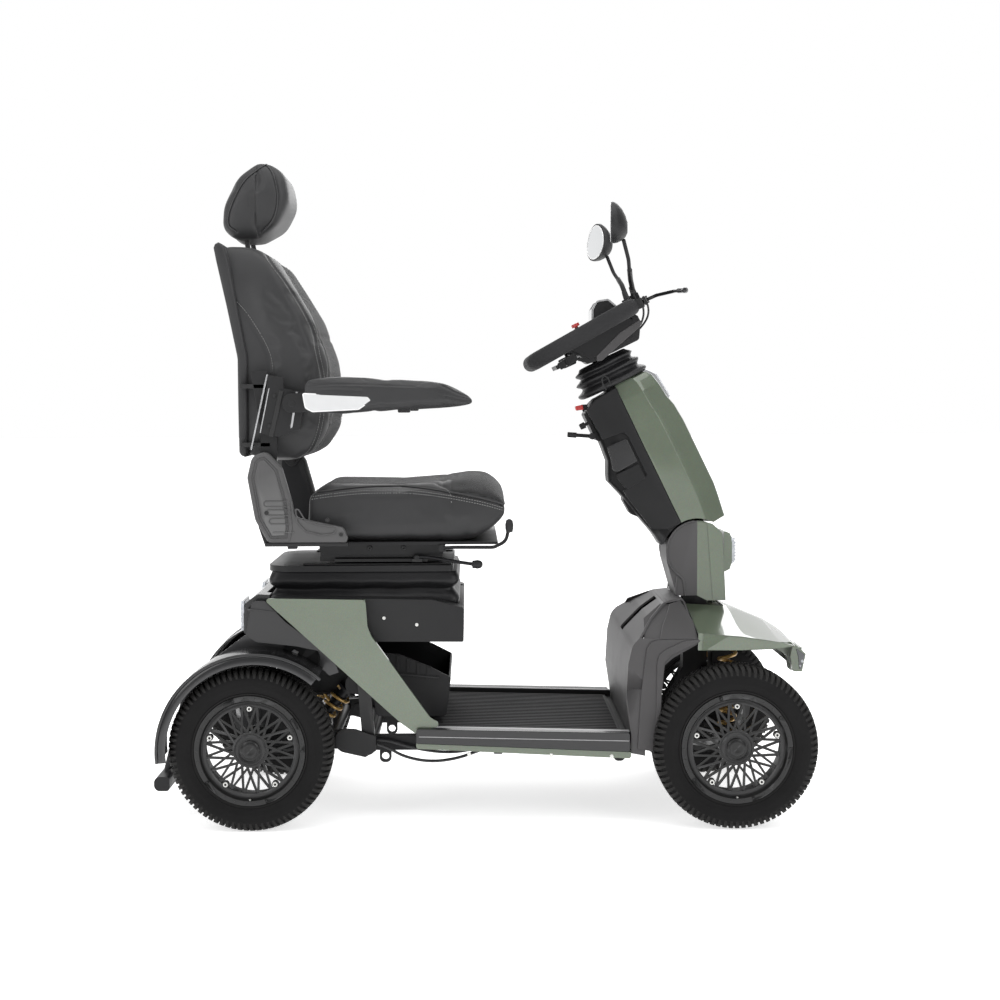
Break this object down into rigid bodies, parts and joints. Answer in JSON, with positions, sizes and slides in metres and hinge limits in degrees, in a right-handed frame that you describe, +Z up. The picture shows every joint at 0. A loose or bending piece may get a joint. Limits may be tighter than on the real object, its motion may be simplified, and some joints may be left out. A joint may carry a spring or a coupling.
{
  "type": "mobility scooter",
  "caption": "Single-seat electric mobility scooter with loop handlebar tiller, sprung swivelling armchair seat, flat deck and lattice-rim wheels.",
  "frame": {"origin": "on the ground under the middle of the scooter's length and width", "axes": "+X forwards, +Y to the rider's left, +Z up"},
  "size_m": [1.55, 0.698, 1.5669],
  "materials": {
    "frame_black": "satin powder coat",
    "bright_steel": "satin",
    "deck_plastic": "fine texture",
    "mat_rubber": "ribbed",
    "rail_black": "gloss",
    "green_paint": "metallic gloss",
    "grey_shroud": "fine texture",
    "black_gloss": "gloss",
    "black_plastic": "fine texture",
    "clear_lens": "clear",
    "battery_case": "matt",
    "cable_black": "matt",
    "gold_spring": "gloss",
    "bellows_rubber": "semi matt",
    "motor_metal": "cast, dark",
    "rim_black": "gloss black",
    "tyre_rubber": "matt",
    "red_plastic": "gloss",
    "grip_foam": "foam",
    "vinyl": "soft vinyl",
    "cover_grey": "fine texture"
  },
  "bodies": {
    "chassis": {"chassis_frame": "frame_black", "deck_pan": "deck_plastic", "floor_mat": "mat_rubber", "side_rails": "rail_black", "side_panels": "green_paint", "tail_cowl": "black_gloss", "body_lamps": "clear_lens", "rear_fenders": "black_gloss", "battery_cover": "black_plastic", "storage_bin": "black_plastic", "battery_pack": "battery_case", "front_shroud": "grey_shroud", "front_hood": "green_paint", "underfloor_cables": "cable_black", "front_spring_right": "gold_spring", "front_spring_left": "gold_spring", "seat_bellows": "bellows_rubber"},
    "rear_axle": {"rear_swing_arm": "frame_black", "drive_motor": "motor_metal"},
    "shock_bodies": {"rear_shock_bodies": "frame_black", "rear_springs": "gold_spring"},
    "shock_rods": {"rear_shock_rods": "bright_steel"},
    "front_arm_right": {"front_arm_right": "frame_black"},
    "front_arm_left": {"front_arm_left": "frame_black"},
    "front_knuckle_right": {"front_knuckle_right": "frame_black"},
    "front_knuckle_left": {"front_knuckle_left": "frame_black"},
    "wheel_rear_right": {"rim_rear_right": "rim_black", "tyre_rear_right": "tyre_rubber"},
    "wheel_rear_left": {"rim_rear_left": "rim_black", "tyre_rear_left": "tyre_rubber"},
    "wheel_front_right": {"rim_front_right": "rim_black", "tyre_front_right": "tyre_rubber"},
    "wheel_front_left": {"rim_front_left": "rim_black", "tyre_front_left": "tyre_rubber"},
    "tiller": {"tiller_cover_front": "green_paint", "tiller_cover_rear": "grey_shroud", "tiller_column": "frame_black", "headlight": "clear_lens", "tiller_boot": "bellows_rubber"},
    "tilt_lever": {"tilt_lever": "black_plastic"},
    "handlebar": {"handlebar_loop": "grip_foam", "console_head": "black_plastic", "control_cables": "cable_black"},
    "throttle_paddle": {"throttle_paddle": "black_plastic"},
    "brake_lever": {"brake_lever": "frame_black"},
    "stop_button": {"stop_button": "red_plastic"},
    "mirror_right": {"mirror_right": "black_gloss"},
    "mirror_left": {"mirror_left": "black_gloss"},
    "seat_platform": {"seat_top_plate": "cover_grey"},
    "swivel": {"swivel_turret": "frame_black"},
    "swivel_lever": {"swivel_lever": "frame_black"},
    "seat": {"seat_pan": "frame_black", "seat_cushion": "vinyl", "seat_side_covers": "cover_grey"},
    "slide_lever": {"slide_lever": "frame_black"},
    "backrest": {"backrest_frame": "frame_black", "backrest_cushion": "vinyl"},
    "headrest": {"headrest": "vinyl"},
    "armrest_right": {"armrest_right": "black_plastic"},
    "armrest_left": {"armrest_left": "black_plastic"}
  },
  "joints": [
    {"name": "rear_suspension", "type": "hinge", "parent": "chassis", "child": "rear_axle", "pos_m": [-0.321, 0, 0.191], "axis": [0, 1, 0], "range_deg": [-4, 5], "stiffness_Nm_per_rad": 2600, "springref_deg": -3.44, "deforming": ["rear_springs"]},
    {"name": "shock_body_swing", "type": "hinge", "parent": "chassis", "child": "shock_bodies", "pos_m": [-0.304, 0, 0.319], "axis": [0, 1, 0], "range_deg": [-2.12, 2.57]},
    {"name": "shock_rod_swing", "type": "hinge", "parent": "rear_axle", "child": "shock_rods", "pos_m": [-0.436, 0, 0.18], "axis": [0, 1, 0], "range_deg": [-3.03, 2.48]},
    {"name": "front_suspension_right", "type": "hinge", "parent": "chassis", "child": "front_arm_right", "pos_m": [0.585, -0.075, 0.185], "axis": [-1, 0, 0], "range_deg": [-4.5, 4.5], "stiffness_Nm_per_rad": 900, "springref_deg": -2.86, "deforming": ["front_spring_right"]},
    {"name": "steer_right", "type": "hinge", "parent": "front_arm_right", "child": "front_knuckle_right", "pos_m": [0.585, -0.255, 0.19], "axis": [0, 0, 1], "range_deg": [-26.5, 26.5]},
    {"name": "front_wheel_spin_right", "type": "hinge", "parent": "front_knuckle_right", "child": "wheel_front_right", "pos_m": [0.585, -0.285, 0.19], "axis": [0, 1, 0], "continuous": true},
    {"name": "rear_wheel_spin_right", "type": "hinge", "parent": "rear_axle", "child": "wheel_rear_right", "pos_m": [-0.533, -0.285, 0.19], "axis": [0, 1, 0], "continuous": true},
    {"name": "front_suspension_left", "type": "hinge", "parent": "chassis", "child": "front_arm_left", "pos_m": [0.585, 0.075, 0.185], "axis": [1, 0, 0], "range_deg": [-4.5, 4.5], "stiffness_Nm_per_rad": 900, "springref_deg": -2.86, "deforming": ["front_spring_left"]},
    {"name": "steer_left", "type": "hinge", "parent": "front_arm_left", "child": "front_knuckle_left", "pos_m": [0.585, 0.255, 0.19], "axis": [0, 0, 1], "range_deg": [-26.5, 26.5]},
    {"name": "front_wheel_spin_left", "type": "hinge", "parent": "front_knuckle_left", "child": "wheel_front_left", "pos_m": [0.585, 0.285, 0.19], "axis": [0, 1, 0], "continuous": true},
    {"name": "rear_wheel_spin_left", "type": "hinge", "parent": "rear_axle", "child": "wheel_rear_left", "pos_m": [-0.533, 0.285, 0.19], "axis": [0, 1, 0], "continuous": true},
    {"name": "tiller_tilt", "type": "hinge", "parent": "chassis", "child": "tiller", "pos_m": [0.528, 0, 0.62], "axis": [0, -1, 0], "range_deg": [-18, 8]},
    {"name": "steering", "type": "hinge", "parent": "tiller", "child": "handlebar", "pos_m": [0.28339, 0, 1.12375], "axis": [-0.4368, 0, 0.8996], "range_deg": [-35, 35]},
    {"name": "tilt_release", "type": "hinge", "parent": "tiller", "child": "tilt_lever", "pos_m": [0.27365, -0.05, 0.90114], "axis": [0, 1, 0], "range_deg": [0, 20], "stiffness_Nm_per_rad": 1},
    {"name": "throttle", "type": "hinge", "parent": "handlebar", "child": "throttle_paddle", "pos_m": [0.22122, 0, 1.08467], "axis": [-0.4368, 0, 0.8996], "range_deg": [-12, 12], "stiffness_Nm_per_rad": 1},
    {"name": "brake", "type": "hinge", "parent": "handlebar", "child": "brake_lever", "pos_m": [0.39325, -0.132, 1.2249], "axis": [-0.4368, 0, 0.8996], "range_deg": [0, 20], "stiffness_Nm_per_rad": 1},
    {"name": "stop_press", "type": "slide", "parent": "handlebar", "child": "stop_button", "axis": [0.4368, 0, -0.8996], "range_m": [0, 0.003], "stiffness_N_per_m": 400},
    {"name": "mirror_turn_right", "type": "hinge", "parent": "handlebar", "child": "mirror_right", "pos_m": [0.33533, -0.226, 1.36019], "axis": [0, 0, 1], "range_deg": [-20, 20]},
    {"name": "mirror_turn_left", "type": "hinge", "parent": "handlebar", "child": "mirror_left", "pos_m": [0.33533, 0.226, 1.36019], "axis": [0, 0, 1], "range_deg": [-20, 20]},
    {"name": "seat_suspension", "type": "slide", "parent": "chassis", "child": "seat_platform", "axis": [0, 0, 1], "range_m": [-0.03, 0.025], "stiffness_N_per_m": 16000, "springref_m": 0.024, "deforming": ["seat_bellows"]},
    {"name": "seat_swivel", "type": "hinge", "parent": "seat_platform", "child": "swivel", "pos_m": [-0.25, 0, 0.6], "axis": [0, 0, 1], "range_deg": [-90, 90]},
    {"name": "swivel_release", "type": "hinge", "parent": "swivel", "child": "swivel_lever", "pos_m": [-0.15, -0.2, 0.62], "axis": [0, 0, 1], "range_deg": [-12, 0], "stiffness_Nm_per_rad": 2},
    {"name": "seat_slide", "type": "slide", "parent": "swivel", "child": "seat", "axis": [-1, 0, 0], "range_m": [-0.06, 0.06]},
    {"name": "slide_release", "type": "hinge", "parent": "seat", "child": "slide_lever", "pos_m": [-0.09, -0.231, 0.647], "axis": [0, -1, 0], "range_deg": [0, 8], "stiffness_Nm_per_rad": 4, "springref_deg": -6.88},
    {"name": "recline", "type": "hinge", "parent": "seat", "child": "backrest", "pos_m": [-0.492, 0, 0.835], "axis": [0, 1, 0], "range_deg": [-20, 25]},
    {"name": "headrest_height", "type": "slide", "parent": "backrest", "child": "headrest", "axis": [-0.2083, 0, 0.9781], "range_m": [0, 0.05]},
    {"name": "armrest_lift_right", "type": "hinge", "parent": "backrest", "child": "armrest_right", "pos_m": [-0.432, -0.278, 0.985], "axis": [0, -1, 0], "range_deg": [0, 85]},
    {"name": "armrest_lift_left", "type": "hinge", "parent": "backrest", "child": "armrest_left", "pos_m": [-0.432, 0.278, 0.985], "axis": [0, -1, 0], "range_deg": [0, 85]}
  ],
  "couplings": [
    {"joint": "shock_body_swing", "follows": "rear_suspension", "ratio": 0.4547},
    {"joint": "shock_rod_swing", "follows": "rear_suspension", "ratio": -0.5453},
    {"joint": "steer_right", "follows": "steering", "ratio": 0.74},
    {"joint": "steer_left", "follows": "steering", "ratio": 0.74}
  ]
}
